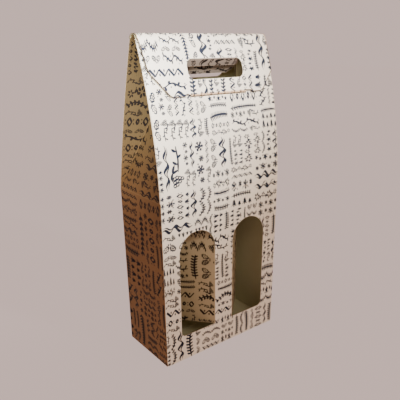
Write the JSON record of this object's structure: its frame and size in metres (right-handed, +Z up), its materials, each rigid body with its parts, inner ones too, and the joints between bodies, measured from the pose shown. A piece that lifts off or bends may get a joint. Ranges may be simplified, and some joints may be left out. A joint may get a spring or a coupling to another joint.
{
  "type": "bottle gift box",
  "caption": "Upright gift carrier for bottles in folded micro-flute board, with arched windows, a gabled top and a tuck-in lid with a hand hole.",
  "frame": {"origin": "middle of the base, on the plane it stands on", "axes": "+X to the carrier's right seen from the front, +Y to its back, +Z up; the windows are in the wall towards -Y"},
  "size_m": [0.18, 0.09, 0.385],
  "materials": {
    "printed_board": "matt coated print on the outside, brown kraft inside",
    "brown_board": "matt brown print on the outside, kraft inside",
    "kraft_board": "uncoated kraft",
    "ink": "matt printing ink"
  },
  "bodies": {
    "carton": {"front_panel": "printed_board", "rear_panel": "printed_board", "front_shoulder_panel": "printed_board", "rear_shoulder_panel": "printed_board", "left_side_panel": "brown_board", "right_side_panel": "brown_board", "left_gusset_triangle": "brown_board", "right_gusset_triangle": "brown_board", "left_gusset_front": "brown_board", "right_gusset_front": "brown_board", "left_gusset_rear": "brown_board", "right_gusset_rear": "brown_board", "base_flap_front": "kraft_board", "base_flap_rear": "kraft_board", "base_flap_left": "kraft_board", "base_flap_right": "kraft_board", "glue_tab": "kraft_board"},
    "lid": {"lid": "printed_board"},
    "tongue": {"tuck_tongue": "printed_board"},
    "lid_tab": {"lid_grip": "printed_board"},
    "front_tab": {"front_grip": "printed_board"},
    "left_flap": {"left_window_flap": "brown_board"},
    "right_flap": {"right_window_flap": "brown_board"}
  },
  "joints": [
    {"name": "lid_crease", "type": "hinge", "parent": "carton", "child": "lid", "pos_m": [0, -0.006, 0.385], "axis": [-1, 0, 0], "range_deg": [0, 140.22]},
    {"name": "tongue_crease", "type": "hinge", "parent": "lid", "child": "tongue", "pos_m": [0, -0.02999, 0.323], "axis": [-1, 0, 0], "range_deg": [0, 82.96]},
    {"name": "front_grip_crease", "type": "hinge", "parent": "carton", "child": "front_tab", "pos_m": [0, -0.01717, 0.3611], "axis": [1, 0, 0], "range_deg": [-60, 30]},
    {"name": "lid_grip_crease", "type": "hinge", "parent": "lid", "child": "lid_tab", "pos_m": [0, -0.01932, 0.3597], "axis": [1, 0, 0], "range_deg": [-60, 30]},
    {"name": "left_window_crease", "type": "hinge", "parent": "carton", "child": "left_flap", "pos_m": [-0.014, -0.0438, 0.1], "axis": [0, 0, -1], "range_deg": [-49, 49]},
    {"name": "right_window_crease", "type": "hinge", "parent": "carton", "child": "right_flap", "pos_m": [0.014, -0.0438, 0.1], "axis": [0, 0, 1], "range_deg": [-44.5, 53.5]}
  ],
  "couplings": [
    {"joint": "tongue_crease", "follows": "lid_crease", "ratio": 0.59154},
    {"joint": "lid_grip_crease", "follows": "front_grip_crease", "ratio": 1}
  ]
}
